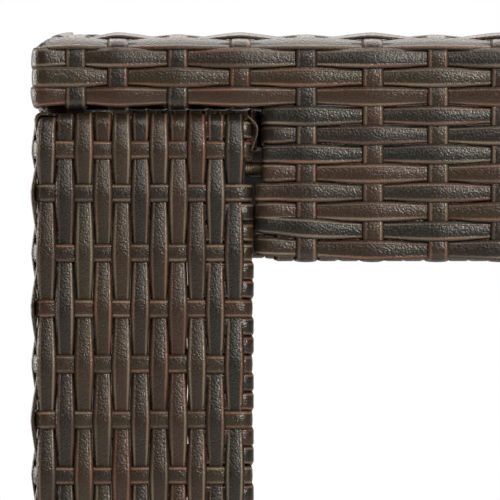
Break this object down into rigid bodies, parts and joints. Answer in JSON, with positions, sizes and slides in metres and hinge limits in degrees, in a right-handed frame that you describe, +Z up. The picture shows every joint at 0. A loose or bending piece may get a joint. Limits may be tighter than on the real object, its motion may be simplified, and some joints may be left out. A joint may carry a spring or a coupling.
{
  "type": "bar table",
  "caption": "Bar-height table: woven flat-strand skins over bolted steel tube legs, aprons and foot rails, a glass pane let into the rim and screw-in levelling feet.",
  "frame": {"origin": "on the floor, below the middle of the table", "axes": "+Z up, X along the table's length, front face towards -Y"},
  "size_m": [1, 0.605, 1.105],
  "materials": {
    "woven_strand": "extruded flat strand, dark brown with lighter edge lines and a fine wrinkled grain",
    "black_powder_coat": "satin black powder coat",
    "zinc_steel": "yellow zinc plating",
    "smoked_glass": "polished toughened glass, lightly smoked",
    "soft_pad": "soft clear-grey pad",
    "black_plastic": "moulded, fine matt"
  },
  "bodies": {
    "table": {"apron_posts_back": "black_powder_coat", "apron_posts_front": "black_powder_coat", "apron_posts_left": "black_powder_coat", "apron_posts_right": "black_powder_coat", "apron_rail_back": "black_powder_coat", "apron_rail_front": "black_powder_coat", "apron_rail_left": "black_powder_coat", "apron_rail_right": "black_powder_coat", "apron_weave_back": "woven_strand", "apron_weave_front": "woven_strand", "apron_weave_left": "woven_strand", "apron_weave_right": "woven_strand", "cross_bar_left": "black_powder_coat", "cross_bar_middle": "black_powder_coat", "cross_bar_right": "black_powder_coat", "foot_inserts": "black_plastic", "foot_rail_back": "black_powder_coat", "foot_rail_front": "black_powder_coat", "foot_rail_left": "black_powder_coat", "foot_rail_right": "black_powder_coat", "foot_rail_wrap_back": "woven_strand", "foot_rail_wrap_front": "woven_strand", "foot_rail_wrap_left": "woven_strand", "foot_rail_wrap_right": "woven_strand", "glass_pads": "soft_pad", "glass_pane": "smoked_glass", "leg_bolts": "zinc_steel", "leg_corner_tube_back_left": "black_powder_coat", "leg_corner_tube_back_right": "black_powder_coat", "leg_corner_tube_front_left": "black_powder_coat", "leg_corner_tube_front_right": "black_powder_coat", "leg_front_tube_back_left": "black_powder_coat", "leg_front_tube_back_right": "black_powder_coat", "leg_front_tube_front_left": "black_powder_coat", "leg_front_tube_front_right": "black_powder_coat", "leg_rungs_back_left": "black_powder_coat", "leg_rungs_back_right": "black_powder_coat", "leg_rungs_front_left": "black_powder_coat", "leg_rungs_front_right": "black_powder_coat", "leg_side_tube_back_left": "black_powder_coat", "leg_side_tube_back_right": "black_powder_coat", "leg_side_tube_front_left": "black_powder_coat", "leg_side_tube_front_right": "black_powder_coat", "leg_washers": "zinc_steel", "leg_weave_back_left": "woven_strand", "leg_weave_back_right": "woven_strand", "leg_weave_front_left": "woven_strand", "leg_weave_front_right": "woven_strand", "rim_tube_back": "black_powder_coat", "rim_tube_front": "black_powder_coat", "rim_tube_left": "black_powder_coat", "rim_tube_right": "black_powder_coat", "rivet_nuts": "zinc_steel", "tube_caps": "black_plastic"},
    "foot_front_left": {"leg_foot_front_left": "zinc_steel"},
    "foot_front_right": {"leg_foot_front_right": "zinc_steel"},
    "foot_back_left": {"leg_foot_back_left": "zinc_steel"},
    "foot_back_right": {"leg_foot_back_right": "zinc_steel"}
  },
  "joints": [
    {"name": "foot_screw_front_left", "type": "slide", "parent": "table", "child": "foot_front_left", "axis": [0, 0, -1], "range_m": [0, 0.012]},
    {"name": "foot_screw_front_right", "type": "slide", "parent": "table", "child": "foot_front_right", "axis": [0, 0, -1], "range_m": [0, 0.012]},
    {"name": "foot_screw_back_left", "type": "slide", "parent": "table", "child": "foot_back_left", "axis": [0, 0, -1], "range_m": [0, 0.012]},
    {"name": "foot_screw_back_right", "type": "slide", "parent": "table", "child": "foot_back_right", "axis": [0, 0, -1], "range_m": [0, 0.012]}
  ]
}
